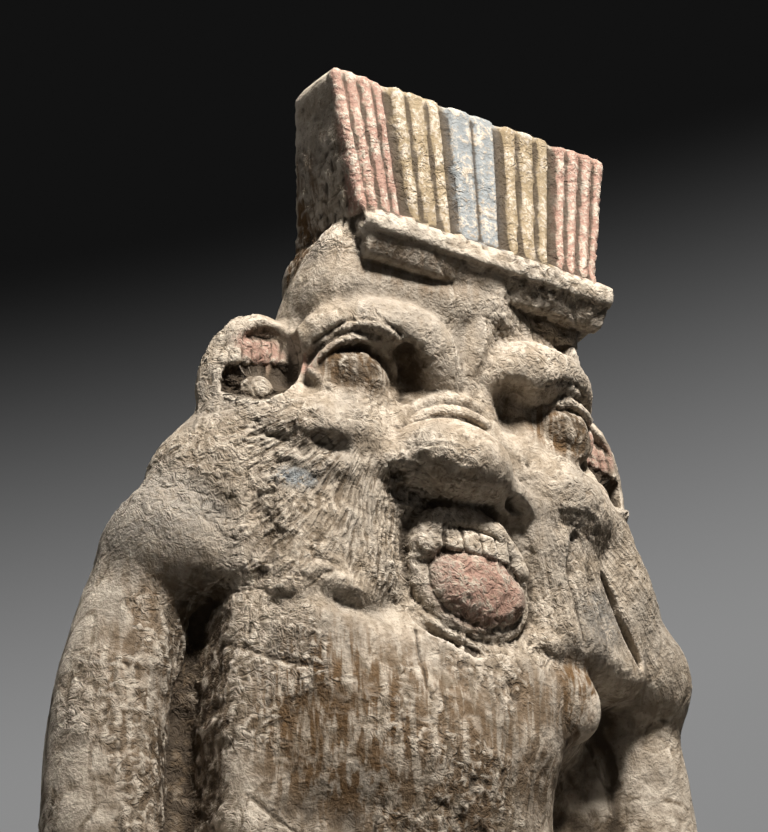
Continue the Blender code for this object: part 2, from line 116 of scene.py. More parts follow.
# The camera and the room in metres, and how the backdrop fades as it rises
CAMERA_TARGET = (-0.00628, 0.04018, 0.691)
CAMERA_PLACE = (-1.64928628, -2.58917753, -0.75477707)
CAMERA_LENS = 173.0769
LAMP_TARGET = (0, -0.05, 0.68)
FLOOR_RADIUS = 0.8
GLOW = (0.345, 0.475, 0.26, 0.006)
SLANT = (-0.17, 0.106, 1)


def turned(degrees):
    return np.array(Euler([math.radians(d) for d in degrees]).to_matrix())


def placed(at, point):
    return np.add(at, point).astype(float)


def eased(values, low, high):
    share = np.clip((values - low) / (high - low), 0, 1)
    return share * share * (3 - 2 * share)


def lean(points, way):
    """The head sits to one side, and the figure stands a little higher on its right hand."""
    out = points.copy()
    out[:, 0] += way * SWAY * eased(points[:, 2], *NECK)
    out[:, 2] += way * LIST * points[:, 0] * eased(points[:, 2], BASE_HEIGHT, BASE_HEIGHT + 300)
    return out


def curved(stations):
    """The stations with two more on a smooth curve between each pair."""
    if len(stations) < 3:
        return stations
    ends = [2 * stations[0] - stations[1], *stations, 2 * stations[-1] - stations[-2]]
    result = []
    for before, start, end, after in zip(ends, ends[1:], ends[2:], ends[3:]):
        for share in (0, 1 / 3, 2 / 3):
            pull_start = (end - before) / 2 * share * (1 - share) ** 2
            pull_end = (after - start) / 2 * share**2 * (share - 1)
            result.append(start + (end - start) * share**2 * (3 - 2 * share) + pull_start + pull_end)
    return [*result, stations[-1]]


def placed_copy(shape, place):
    copy = shape.copy()
    bmesh.ops.transform(copy, matrix=place, verts=copy.verts)
    return copy


class Lump:
    """An egg-shaped mass of three radii."""

    def __init__(self, centre, radii, turn=(0, 0, 0), at=(0, 0, 0)):
        self.centre = placed(at, centre)
        self.radii = np.array(radii, float)
        self.axes = turned(turn)
        self.reach = max(radii)

    def distance(self, points):
        local = (points - self.centre) @ self.axes
        near = np.linalg.norm(local / self.radii, axis=1)
        slope = np.linalg.norm(local / self.radii**2, axis=1)
        return near * (near - 1) / np.maximum(slope, 1e-6)

    def rough(self, ball):
        place = Matrix.Translation(self.centre) @ Matrix(self.axes.tolist()).to_4x4()
        return [placed_copy(ball, place @ Matrix.Diagonal((*self.radii, 1)))]


class Limb:
    """A round bar through stations of x, y, z and radius."""

    def __init__(self, *stations, at=(0, 0, 0)):
        self.stations = curved([placed((*at, 0), station) for station in stations])
        points = np.array([station[:3] for station in self.stations])
        self.centre = (points.min(0) + points.max(0)) / 2
        self.reach = max(np.linalg.norm(s[:3] - self.centre) + s[3] for s in self.stations)

    def distance(self, points):
        nearest = np.full(len(points), 1e3)
        for start, end in zip(self.stations, self.stations[1:]):
            along = end - start
            offset = points - start[:3]
            share = np.clip(offset @ along[:3] / (along[:3] @ along[:3]), 0, 1)
            gap = np.linalg.norm(offset - share[:, None] * along[:3], axis=1)
            nearest = np.minimum(nearest, gap - start[3] - share * along[3])
        return nearest

    def rough(self, ball):
        copies = []
        for start, end in zip(self.stations, self.stations[1:]):
            length = np.linalg.norm(end[:3] - start[:3])
            count = 1 + int(length / max(0.5 * min(start[3], end[3]), COARSE_VOXEL))
            for share in np.arange(count) / count:
                x, y, z, radius = start + share * (end - start)
                size = max(radius, 0.6 * COARSE_VOXEL)
                place = Matrix.Translation((x, y, z)) @ Matrix.Diagonal((size, size, size, 1))
                copies.append(placed_copy(ball, place))
        return copies


class Slab:
    """A box with rounded edges, whose top is wider or narrower and shifted along y by shift."""

    def __init__(self, centre, half, edge, turn=(0, 0, 0), top=(1, 1), shift=0, at=(0, 0, 0)):
        self.centre = placed(at, centre)
        self.half = np.array(half, float)
        self.edge = edge
        self.axes = turned(turn)
        self.top = top
        self.shift = shift
        self.reach = float(np.linalg.norm(half)) * max(1, *top) + abs(shift)

    def distance(self, points):
        local = (points - self.centre) @ self.axes
        rise = np.clip(local[:, 2] / self.half[2], -1, 1) * 0.5 + 0.5
        half = np.tile(self.half, (len(local), 1))
        half[:, 0] *= 1 + (self.top[0] - 1) * rise
        half[:, 1] *= 1 + (self.top[1] - 1) * rise
        local[:, 1] -= self.shift * rise
        outside = np.abs(local) - half + self.edge
        beyond = np.linalg.norm(np.maximum(outside, 0), axis=1)
        return beyond + np.minimum(outside.max(1), 0) - self.edge

    def rough(self, ball):
        block = bmesh.new()
        for corner in bmesh.ops.create_cube(block, size=2)["verts"]:
            upper = corner.co.z > 0
            wide, deep = self.top if upper else (1, 1)
            x = corner.co.x * self.half[0] * wide
            y = corner.co.y * self.half[1] * deep + self.shift * upper
            corner.co = (x, y, corner.co.z * self.half[2])
        place = Matrix.Translation(self.centre) @ Matrix(self.axes.tolist()).to_4x4()
        bmesh.ops.transform(block, matrix=place, verts=block.verts)
        return [block]


def ring(centre, oval, radius, span=(0, 360), bow=0, steps=16):
    """A round bar bent into an upright oval; bow sets its sides back."""
    stations = []
    for degrees in np.linspace(*span, steps + 1):
        across = math.cos(math.radians(degrees))
        up = math.sin(math.radians(degrees))
        stations.append((across * oval[0], bow * across * across, up * oval[1], radius))
    return Limb(*stations, at=centre)


def least(first, second, blend):
    """The lesser of two distances, eased over the width of the blend where they are near."""
    if not blend:
        return np.minimum(first, second)
    overlap = np.maximum(blend - np.abs(first - second), 0) / blend
    return np.minimum(first, second) - overlap * overlap * blend / 4


class Stone:
    """The carved form: masses added and cut away in order."""

    def __init__(self):
        self.touches = []

    def add(self, mass, blend=10, both=False):
        self.touches.append((1, mass, blend, both))

    def cut(self, mass, blend=4, both=False):
        self.touches.append((-1, mass, blend, both))

    def distance(self, points):
        """How far each point is outside the form, worked out cell by cell."""
        upright = lean(points, 1)
        keys = np.floor(upright / CELL).astype(int) @ (1, 1000, 1000000)
        order = np.argsort(keys, kind="stable")
        result = np.empty(len(points))
        for group in np.split(order, np.flatnonzero(np.diff(keys[order])) + 1):
            result[group] = self.cell_distance(upright[group])
        return result

    def cell_distance(self, points):
        middle = points.mean(0)
        reach = np.linalg.norm(points - middle, axis=1).max()
        folded = points.copy()
        folded[:, 0] = np.abs(folded[:, 0])
        result = np.full(len(points), 100.0)
        for way, mass, blend, both in self.touches:
            centre = mass.centre * (math.copysign(1, middle[0]) if both else 1, 1, 1)
            if np.linalg.norm(centre - middle) > mass.reach + reach + blend + 40:
                continue
            own = mass.distance(folded if both else points)
            result = way * least(way * result, own, blend)
        return result

    def rough(self):
        """A mesh of all the masses that were added, each closed in itself."""
        ball = bmesh.new()
        bmesh.ops.create_icosphere(ball, subdivisions=2, radius=1)
        whole = bmesh.new()
        shape = bpy.data.meshes.new("mass")
        for way, mass, blend, both in self.touches:
            if way < 0:
                continue
            for copy in mass.rough(ball):
                copy.to_mesh(shape)
                whole.from_mesh(shape)
                if both:
                    shape.transform(Matrix.Diagonal((-1, 1, 1, 1)))
                    whole.from_mesh(shape)
                copy.free()
        mesh = bpy.data.meshes.new("rough_block")
        whole.to_mesh(mesh)
        whole.free()
        ball.free()
        bpy.data.meshes.remove(shape)
        return mesh


def base(stone):
    half = (BASE_WIDTH / 2, BASE_DEPTH / 2, BASE_HEIGHT)
    stone.add(Slab((0, 0, 0), half, 5), 0)


def torso(stone):
    """Chest, fat belly and the web of stone left behind the body and arms."""
    stone.add(Slab((0, 64, 350), (240, 42, 175), 34, top=(0.92, 0.9)), 10)
    stone.add(Slab((0, 60, 440), (214, 42, 80), 20), 12)
    stone.add(Lump((0, 16, 452), (176, 92, 105)), 24)
    stone.add(Slab((-52, -8, 352), (144, 42, 112), 24), 14)
    stone.add(Lump((-34, 0, 350), (138, 108, 108)), 50)
    stone.add(Lump((-6, 22, 275), (138, 98, 74)), 30)
    stone.add(Slab((-28, -24, 402), (118, 62, 62), 44, top=(1.3, 1)), 30)
    stone.add(Lump((0, 0, 0), (30, 20, 33), at=BREAST), 14)
    stone.add(Lump((-27, -84, 388), (14, 11, 18)), 4)
    stone.cut(Lump((168, -36, 458), (12, 24, 14)), 8)
    stone.cut(Lump((0, -106, 300), (8, 12, 9)), 5)


def legs(stone):
    """Short bowed legs with broad feet, and the lion's tail hanging behind them."""
    stone.add(Slab((0, 56, 150), (150, 34, 110), 24), 16)
    stone.add(Limb((94, 26, 256, 78), (138, -20, 184, 66), (*KNEE, 55)), 20, both=True)
    stone.add(Limb((*KNEE, 53), (146, 4, 120, 48), (*ANKLE, 34), (122, 22, 66, 30)), 14, both=True)
    stone.add(Limb((122, 30, 70, 28), (132, -40, 66, 27), (142, -104, 60, 20)), 10, both=True)
    stone.add(Limb((0, -20, 230, 18), (0, 0, 170, 15), (0, 4, 100, 15), (0, -2, 62, 20)), 8)


def toes(stone):
    for index in range(5):
        x = 118 + 12 * index
        stone.add(Limb((x, -106, 64, 9), (x + 2, -122 + 2 * index, 62, 8)), 3, both=True)


def arms(stone):
    """Heavy arms, bent at the elbow to set the hands on the thighs."""
    x, y, z = SHOULDER
    upper = ((x - 4, y, z + 6, 44), (x + 17, y + 6, z - 70, 46), (x + 30, y + 8, z - 150, 48), (*ELBOW, 48))
    stone.add(Limb(*upper), 10, both=True)
    fore = ((*ELBOW, 48), (238, -6, 198, 43), (194, -60, 190, 32), (166, -80, 188, 27))
    stone.add(Limb(*fore), 12, both=True)


def hands(stone):
    stone.add(Lump((0, 0, 0), (40, 20, 28), turn=(0, 0, 30), at=HAND), 8, both=True)
    for index in range(4):
        height = 18 - 13 * index
        stone.add(Limb((-14, -16, height, 8), (-50, -16, height - 4, 7), at=HAND), 3, both=True)
    stone.add(Limb((-6, -10, 26, 9), (-30, -14, 36, 8), at=HAND), 3, both=True)


def skull(stone):
    """The broad front of the face, rounding back to one side, under a low forehead."""
    stone.add(Lump((0, -16, 650), (142, 76, 122)), 10)
    stone.add(Slab((0, -42, 668), (116, 46, 84), 34, top=(0.98, 0.96)), 26)
    stone.add(Slab((-38, -52, 747), (88, 54, 32), 22, turn=(0, 0, -6)), 12)
    stone.add(Slab((46, -46, 743), (84, 50, 32), 24, turn=(0, 0, 16)), 14)
    stone.add(Lump((-112, -58, 722), (28, 38, 36)), 14)
    stone.add(Slab((0, -44, 585), (118, 42, 60), 36, top=(1.0, 1.06)), 30)


def crown(stone):
    """A slab of feathers that spreads upwards, over a thin projecting band."""
    middle = (CROWN_FOOT + CROWN_TOP) / 2
    half_height = (CROWN_TOP - CROWN_FOOT) / 2
    half = (CROWN_HALF_WIDTH - 4, 54, half_height)
    stone.add(Slab((2, -56, 742), (116, 43, 62), 8), 12)
    stone.add(Slab((3, -67, middle), half, 4, top=(CROWN_SPREAD, 0.6), shift=-8), 0)
    stone.add(Slab((12, -82, 756), (116, 31, 11), 3, top=(1.04, 1.4)), 3)
    stone.add(Slab((12, -92, 772), (122, 36, 10), 5), 2)
    stone.cut(Lump((-116, -128, 758), (15, 13, 12), turn=(0, 20, 0)), 5)
    stone.cut(Lump((-62, -134, 757), (34, 10, 9)), 5)


def feathers(stone):
    """Deep grooves between the five feathers, and shallow ones that split each into strands."""
    foot = -122
    top = -107
    for start, end, strands in zip(FEATHER_EDGES, FEATHER_EDGES[1:], FEATHER_STRANDS):
        for part in range(strands):
            across = (start + part / strands * (end - start)) * CROWN_HALF_WIDTH
            radius = 3.5 if part else 6.5
            if across > -0.98 * CROWN_HALF_WIDTH:
                low = (across + 3, foot, CROWN_FOOT - 4, radius)
                high = (across * CROWN_SPREAD + 3, top, CROWN_TOP + 8, radius)
                stone.cut(Limb(low, high), 2)


def brows(stone):
    """Swollen brows that fold down to the root of the nose, parted by a narrow lobe."""
    near = ((-24, -82, 652, 20), (-29, -89, 671, 26), (-46, -92, 688, 30), (-86, -90, 691, 26))
    stone.add(Limb(*near, (-116, -80, 686, 20), (-136, -61, 670, 13)), 6)
    far = ((22, -82, 670, 13), (36, -89, 685, 22), (62, -90, 692, 29), (94, -85, 702, 24))
    stone.add(Limb(*far, (120, -74, 704, 20), (136, -62, 694, 14)), 5)
    stone.add(Limb((14, -96, 732, 15), (10, -97, 702, 14), (4, -92, 676, 12), (1, -84, 658, 12)), 5)
    crease = ((-118, -100, 708, 2), (-102, -108, 716, 4), (-78, -113, 721, 5), (-50, -115, 722, 5))
    stone.cut(Limb(*crease, (-24, -114, 714, 4)), 8)
    stone.cut(Limb((26, -112, 708, 5), (60, -108, 727, 6), (94, -101, 728, 6), (122, -90, 719, 5)), 6)
    stone.cut(Limb((-22, -120, 708, 5), (-15, -115, 690, 5), (-9, -107, 664, 5)), 4)
    stone.cut(Limb((30, -114, 718, 4), (23, -112, 700, 5), (12, -105, 668, 5)), 4)
    stone.cut(Limb((-62, -104, 670, 7), (-58, -99, 656, 9), (-60, -95, 638, 8)), 14)
    stone.cut(Lump((46, -108, 650), (15, 24, 22)), 10)


def eyes(stone):
    """Worn balls between a heavy upper lid, creased above, and a soft lower one."""
    stone.cut(Lump((-99, -110, 652), (38, 14, 25), turn=(-8, 0, -12)), 8)
    stone.cut(Lump((106, -107, 660), (37, 14, 24), turn=(-8, -10, 16)), 8)
    stone.add(Lump((-99, -76, 646), (34, 26, 27), turn=(0, 6, -12)), 4)
    stone.add(Lump((106, -73, 655), (34, 25, 25), turn=(0, -12, 16)), 4)
    near_upper = ((-136, -78, 645, 3), (-127, -90, 661, 3.5), (-108, -98, 672, 4), (-85, -99, 674, 4))
    near_lower = ((-136, -78, 642, 4), (-118, -87, 627, 5), (-96, -91, 623, 6), (-72, -89, 630, 5))
    stone.add(Limb(*near_lower, (-61, -82, 644, 4)), 8)
    stone.add(Limb(*near_upper, (-65, -90, 662, 3.5), (-61, -82, 644, 3)), 3)
    far_upper = ((69, -80, 645, 3), (76, -88, 662, 3.5), (100, -94, 676, 4), (122, -88, 679, 4))
    far_lower = ((69, -80, 642, 4), (86, -88, 629, 5), (114, -86, 635, 6), (134, -76, 650, 5))
    stone.add(Limb(*far_lower, (144, -70, 670, 4)), 8)
    stone.add(Limb(*far_upper, (142, -74, 676, 4), (148, -62, 668, 4)), 3)


def nose(stone):
    """A broad flat nose with wrinkles over its bulb and wide nostrils."""
    stone.add(Limb((8, 6, 74, 15), (6, 6, 50, 22), at=NOSE), 8)
    outer = ((-46, -6, 34, 5), (-30, -10, 48, 6), (-7, -13, 58, 7), (18, -11, 61, 6), (44, 0, 59, 5))
    stone.add(Limb(*outer, at=NOSE), 3)
    inner = ((-42, -9, 28, 4), (-26, -14, 40, 5), (-1, -18, 47, 6), (24, -14, 48, 5), (42, -5, 47, 4))
    stone.add(Limb(*inner, at=NOSE), 2)
    stone.add(Lump((0, -4, 6), (54, 44, 34), at=NOSE), 2)
    stone.add(Lump((-4, -18, -2), (50, 33, 27), at=NOSE), 12)
    stone.add(Limb((-38, -10, -2, 22), (-56, -9, -12, 17), (-66, -4, -19, 12), at=NOSE), 5)
    stone.add(Limb((34, -8, -3, 22), (60, -5, -9, 16), (77, 1, -13, 12), at=NOSE), 5)
    stone.cut(Lump((-60, -24, -24), (9, 13, 7), at=NOSE), 6)
    stone.cut(Lump((58, -18, -20), (13, 12, 6), turn=(0, 10, 0), at=NOSE), 5)
    stone.cut(Limb((-78, -16, 22, 3), (-88, -12, 0, 5), (-90, -10, -24, 6), at=NOSE), 5)
    stone.cut(Limb((74, -10, 24, 2), (90, -8, 4, 4), (94, -6, -16, 4), at=NOSE), 5)


def cheeks(stone):
    """Hanging pouches under the eyes; the near one ends in a rolled rim that is broken."""
    x, y, z = CHEEK
    near = (-x, y, z)
    stone.add(Lump((0, 0, 0), (54, 38, 34), turn=(0, 0, 20), at=CHEEK), 16, both=True)
    stone.add(Limb((34, -20, -24, 5), (6, -24, -34, 6), (-26, -13, -35, 6), (-50, 6, -24, 5), at=near), 10)
    stone.cut(Limb((20, -42, -24, 4), (-2, -43, -26, 5), (-28, -31, -25, 4), at=near), 6)
    stone.cut(Lump((-128, -99, 574), (18, 11, 8), turn=(0, 10, -20)), 6)
    stone.cut(Limb((-36, -36, -34, 2), (0, -36, -42, 5), (34, -24, -42, 5), at=CHEEK), 8)


def mouth(stone):
    """An open mouth: a thick lip all round, a row of teeth and a broad tongue."""
    stone.add(Lump((0, 22, 4), (66, 26, 70), at=MOUTH), 10)
    near = ((-60, -4, 24, 4), (-66, -2, 0, 8), (-61, -2, -30, 8), (-42, -2, -56, 6), (0, -4, -68, 4))
    stone.cut(Limb(*near, at=MOUTH), 4)
    stone.cut(Limb((56, -6, 54, 4), (64, -4, 20, 6), (62, -4, -10, 7), (50, -4, -42, 6), at=MOUTH), 4)
    stone.add(Lump((0, 10, 0), (58, 18, 56), at=MOUTH), 2)
    stone.add(ring(MOUTH, (48, 47), 10, bow=6), 2)
    x, y, z = MOUTH
    stone.add(ring((x, y - 6, z + 1), (46, 44), 14, span=(22, 158), bow=8), 6)
    stone.cut(Lump((0, -16, -4), (43, 14, 38), at=MOUTH), 2)
    stone.add(Lump((1, -6, -12), (44, 17, 33), at=MOUTH), 1.5)


def teeth(stone):
    """A row of worn upper teeth, nearly flush with the lip."""
    for index in range(6):
        across = (index - 2.5) / 2.5
        place = (38 * across, -12 + 9 * across * across, 23)
        stone.add(Slab(place, (7.2, 9, 9), 3, turn=(0, 0, 16 * across), at=MOUTH), 0.5)


def ears(stone):
    """Round lion's ears: a rolled rim, a deep cup, a fringe of hair and a lobe."""
    tilt = (0, -20, 22)
    stone.add(Lump((0, 6, 2), (37, 20, 57), turn=tilt, at=EAR), 8, both=True)
    stone.cut(Lump((-5, -14, -1), (30, 24, 50), turn=tilt, at=EAR), 3, both=True)
    stone.add(Lump((-7, -3, -18), (15, 15, 16), at=EAR), 2, both=True)
    for index in range(6):
        x = -32 + 9 * index
        z = 33 - 2 * index
        stone.add(Limb((x, -2, z, 4.5), (x + 2, -4, z - 15, 4.5), at=EAR), 1, both=True)


def mane(stone):
    """The mane falls from the temples beside the face, over the shoulders and round the mouth."""
    temple = ((112, -30, 724, 20), (124, -34, 684, 26), (138, -36, 640, 34), (162, -26, 600, 42))
    stone.add(Limb(*temple, (192, -4, 556, 44)), 14, both=True)
    stone.add(Limb((188, -4, 552, 44), (214, 8, 508, 46)), 16, both=True)
    stone.add(Slab((132, -26, 518), (66, 44, 62), 22, turn=(0, 0, 20)), 14, both=True)
    stone.add(Slab((98, -46, 522), (40, 38, 62), 20, turn=(0, 0, 10)), 14, both=True)
    stone.add(Slab((186, -4, 508), (50, 30, 44), 20, turn=(0, 0, 24)), 14, both=True)
    stone.add(Slab((-122, -48, 508), (46, 38, 58), 22, turn=(0, 0, -14)), 14)
    stone.add(Limb((-176, -20, 486, 18), (-206, -10, 494, 20)), 12)
    stone.add(Lump((-112, -78, 458), (23, 15, 12), turn=(0, 15, 0)), 8)
    stone.add(Lump((-158, -62, 454), (17, 11, 9), turn=(0, -10, 0)), 8)
    stone.add(Lump((76, -74, 462), (17, 14, 13), turn=(0, 20, 0)), 8)
    stone.add(Lump((242, 14, 500), (40, 38, 44)), 24)
    stone.add(Lump((-224, 14, 494), (44, 42, 40)), 24)
    stone.cut(Limb((107, -80, 560, 4), (99, -83, 522, 7), (113, -80, 474, 6)), 4)
    stone.cut(Limb((152, -66, 542, 4), (168, -60, 512, 7), (190, -53, 484, 5)), 4)
    stone.cut(Limb((124, -78, 530, 3), (138, -70, 496, 5)), 4)


def carved():
    stone = Stone()
    body = (base, torso, legs, toes, arms, hands)
    head = (mane, skull, crown, feathers, brows, eyes, nose, cheeks, mouth, teeth, ears)
    for work in body + head:
        work(stone)
    return stone


def read_points(mesh):
    values = np.empty(len(mesh.vertices) * 3, np.float32)
    mesh.vertices.foreach_get("co", values)
    return values.reshape(-1, 3).astype(float)


def write_points(mesh, points):
    mesh.vertices.foreach_set("co", points.astype(np.float32).ravel())
    mesh.update()


def apply_modifiers(figure):
    graph = bpy.context.evaluated_depsgraph_get()
    worked = bpy.data.meshes.new_from_object(figure.evaluated_get(graph))
    figure.modifiers.clear()
    before = figure.data
    figure.data = worked
    bpy.data.meshes.remove(before)


def remesh(figure, voxel):
    grain = figure.modifiers.new("grain", "REMESH")
    grain.mode = "VOXEL"
    grain.voxel_size = voxel
    apply_modifiers(figure)


def edge_ends(mesh):
    ends = np.empty(len(mesh.edges) * 2, np.int32)
    mesh.edges.foreach_get("vertices", ends)
    return ends.reshape(-1, 2)


def relaxed(points, ends):
    """Each point moved halfway to the middle of its neighbours."""
    count = np.bincount(ends.ravel(), minlength=len(points))[:, None]
    total = np.zeros_like(points)
    for axis in range(3):
        column = points[:, axis]
        total[:, axis] += np.bincount(ends[:, 0], column[ends[:, 1]], len(points))
        total[:, axis] += np.bincount(ends[:, 1], column[ends[:, 0]], len(points))
    return (points + total / np.maximum(count, 1)) / 2


def settle(figure, stone, steps, chosen=slice(None)):
    """Moves the rough mesh onto the form, spreading its points evenly on the way."""
    mesh = figure.data
    ends = edge_ends(mesh)
    whole = read_points(mesh)
    for step in range(steps):
        whole[chosen] = relaxed(whole, ends)[chosen]
        points = whole[chosen]
        outside = stone.distance(points)
        slope = np.empty_like(points)
        for axis in range(3):
            beside = points.copy()
            beside[:, axis] += 0.5
            slope[:, axis] = stone.distance(beside) - outside
        slope /= np.maximum(np.linalg.norm(slope, axis=1), 0.25)[:, None]
        whole[chosen] = points - slope * np.clip(outside, -10, 10)[:, None]
    write_points(mesh, whole)


def refine(figure):
    """Splits every face of the mask and the mane in four."""
    mesh = bmesh.new()
    mesh.from_mesh(figure.data)
    edges = [edge for edge in mesh.edges if all(in_mask(*vert.co) for vert in edge.verts)]
    bmesh.ops.subdivide_edges(mesh, edges=edges, cuts=1, use_grid_fill=True)
    mesh.to_mesh(figure.data)
    mesh.free()


def in_mask(x, y, z):
    return (abs(x) < MASK_HALF_WIDTH) & (y < MASK_BACK) & (MASK_HEIGHTS[0] < z) & (z < MASK_HEIGHTS[1])


def carve(stone):
    mesh = stone.rough()
    write_points(mesh, lean(read_points(mesh), -1))
    figure = bpy.data.objects.new("bes_stone", mesh)
    bpy.context.scene.collection.objects.link(figure)
    remesh(figure, COARSE_VOXEL)
    settle(figure, stone, 5)
    remesh(figure, FINE_VOXEL)
    settle(figure, stone, 3)
    refine(figure)
    mask = in_mask(*read_points(figure.data).T)
    settle(figure, stone, 2, np.flatnonzero(mask))
    return figure


def facing(mesh):
    """The direction that the surface faces at each point."""
    values = np.empty(len(mesh.vertices) * 3, np.float32)
    mesh.vertex_normals.foreach_get("vector", values)
    return values.reshape(-1, 3).astype(float)


def grain(points, size, seed):
    """Smooth noise from -1 to 1, in grains of the given size."""
    table = np.random.default_rng(seed).random(NOISE_SIDE**3)
    cells = np.asarray(points) / size
    low = np.floor(cells).astype(int)
    part = cells - low
    part = part * part * (3 - 2 * part)
    total = np.zeros(len(cells))
    for corner in itertools.product((0, 1), repeat=3):
        index = (low + corner) % NOISE_SIDE @ (NOISE_SIDE**2, NOISE_SIDE, 1)
        total += table[index] * np.where(corner, part, 1 - part).prod(1)
    return 2 * total - 1


def scratch(points, stations, width, depth):
    """The depth of a line cut into the front through the stations of x and z, deepest in its middle."""
    line = Limb(*[(x, 0, z, 0) for x, z in stations])
    away = line.distance(points * (1, 0, 1))
    return depth * np.exp(-((away / width) ** 2)) * eased(-points[:, 1], 0, 30)


def worn(points):
    """How far the weathered surface stands off the carved one: flaking, crumbling and cracks."""
    wander = np.stack([grain(points, 22, seed) for seed in (11, 12, 13)], axis=1) * 5
    moved = points + wander
    rise = 0.9 * grain(points, 46, 1) + 0.5 * grain(points, 19, 2) + 0.3 * grain(moved, 8, 3)
    flakes = eased(grain(moved, 27, 9), 0.02, 0.12) + 0.7 * eased(grain(moved, 12, 14), 0.1, 0.25)
    ridges = 0.5 - np.abs(grain(moved, 9, 4))
    crumbs = np.abs(grain(moved, 4.5, 5))
    cracks = np.maximum(0.08 - np.abs(grain(moved, 34, 8)), 0) * 12
    rise += rough_zones(points) * (1.1 * flakes + 1.3 * ridges + 1.2 * crumbs - 1.2) - 0.8 * cracks
    on_feathers = eased(points[:, 2], CROWN_FOOT - 6, CROWN_FOOT) * eased(-points[:, 1], 96, 103)
    return rise * (1 - 0.65 * on_feathers)


def rough_zones(points):
    """Where the surface has crumbled: mostly the chest and the near half, less the brows and nose."""
    share = eased(grain(points, 60, 6) + 0.4 * grain(points, 21, 7), -0.35, 0.25)
    smooth = np.maximum(spot(points, np.array((0, -100, 640)), (110, 70, 100)), eased(points[:, 0], 60, 180))
    return share * (1 - 0.6 * smooth)


def incised(points):
    """Lines cut into the stone: the breast's curve, the chest, the far flap's grooves and the teeth."""
    depth = scratch(points, ((-206, 416), (-178, 398), (-141, 385)), 2.2, 2.4)
    depth += scratch(points, ((-185, 282), (-164, 269), (-137, 254)), 2.2, 2)
    depth += scratch(points, ((-58, 436), (-57, 404), (-53, 375)), 1.8, 2)
    depth += scratch(points, ((-22, 700), (-10, 668), (-4, 656)), 2.6, 2)
    depth += scratch(points, ((107, 556), (99, 520), (113, 472)), 4.5, 5)
    depth += scratch(points, ((152, 542), (168, 512), (190, 484)), 4.5, 5)
    depth += scratch(points, ((122, 536), (136, 496)), 3.5, 3)
    height = MOUTH[2]
    for index in range(5):
        across = (index - 2) * 16
        depth += scratch(points, ((across, height + 14), (across * 0.96, height + 33)), 1.4, 1.5)
    depth += scratch(points, ((-134, 668), (-116, 684), (-92, 686), (-72, 678)), 2, 2)
    depth += scratch(points, ((72, 676), (98, 690), (128, 692)), 2, 2)
    return depth


def fan(points):
    """How far each point is from the middle, and its angle and distance in the fan of hair."""
    across = np.abs(points[:, 0])
    angle = np.arctan2(across - FAN[0], FAN[1] - points[:, 2])
    fall = np.hypot(across - FAN[0], FAN[1] - points[:, 2])
    return across, angle, fall


def hair(points):
    """Knotted wavy strands on one half of the mane, finer straight ones on the flap of the other."""
    across, angle, fall = fan(points)
    angle = np.degrees(angle)
    height = points[:, 2]
    wobble = grain(points, 30, 21) + 0.7 * grain(points, 11, 22)
    strand = np.cos(2 * np.pi * (angle + 2.2 * wobble) / NEAR_STRAND)
    kept = eased(grain(points, 17, 23), -0.3, 0.3)
    near = 0.55 * strand * kept + 2.2 * np.abs(grain(points, 8, 24)) * (1 - 0.4 * kept) - 0.8
    far = 0.3 * np.cos(2 * np.pi * (angle + 0.8 * wobble) / FAR_STRAND)
    under_cheek = 548 + 0.5 * np.maximum(across - 100, 0)
    within = eased(height, HEM - 16, HEM + 6) * eased(-height, -under_cheek - 16, -under_cheek + 4)
    within *= eased(across, 64, 72) * eased(-points[:, 1], -46, -10)
    within *= np.where(points[:, 0] < 0, eased(-across, -212, -172), eased(-across, -262, -235))
    return np.where(points[:, 0] < 0, near, far) * within * eased(fall, 30, 70)


def weather(figure):
    """Presses the worn surface and the cut lines into the stone."""
    mesh = figure.data
    points = read_points(mesh)
    upright = lean(points, 1)
    above = eased(points[:, 2], 2, 12)
    rise = (worn(upright) + hair(upright) - incised(upright)) * above
    write_points(mesh, points + facing(mesh) * rise[:, None])


def cut_flat(figure):
    """Leaves the underside one flat face at the height of the floor."""
    mesh = bmesh.new()
    mesh.from_mesh(figure.data)
    parts = mesh.verts[:] + mesh.edges[:] + mesh.faces[:]
    bmesh.ops.bisect_plane(mesh, geom=parts, plane_co=(0, 0, 0), plane_no=(0, 0, -1), clear_outer=True)
    bmesh.ops.holes_fill(mesh, edges=[edge for edge in mesh.edges if edge.is_boundary])
    mesh.to_mesh(figure.data)
    mesh.free()


def thin_out(figure):
    """Leaves most of the triangles where the carving is fine: the face, then the front."""
    points = read_points(figure.data)
    mask = eased(points[:, 2], 420, 450) * eased(-points[:, 1], 0, 20) * eased(-points[:, 2], -775, -750)
    front = eased(-points[:, 1], -50, 20) * eased(points[:, 2], 240, 300)
    keep = figure.vertex_groups.new(name="keep")
    level = np.round(mask * 4 + front * 3).astype(int)
    for step in range(8):
        keep.add(np.flatnonzero(level == step).tolist(), step / 8, "REPLACE")
    thin = figure.modifiers.new("thin", "DECIMATE")
    thin.ratio = TRIANGLES / (2 * len(points))
    thin.vertex_group = keep.name
    thin.invert_vertex_group = True
    thin.vertex_group_factor = 0.4
    thin.use_collapse_triangulate = True
    apply_modifiers(figure)
    figure.vertex_groups.clear()


def hollowness(figure, rounds):
    """How deep each point lies below its surroundings, in millimetres, less where it stands out."""
    mesh = figure.data
    ends = edge_ends(mesh)
    points = read_points(mesh)
    smooth = points
    for round_index in range(rounds):
        smooth = relaxed(smooth, ends)
    return ((smooth - points) * facing(mesh)).sum(1)


def keep_values(figure, name, values):
    attribute = figure.data.attributes.new(name, "FLOAT", "POINT")
    attribute.data.foreach_set("value", np.ascontiguousarray(values, np.float32))


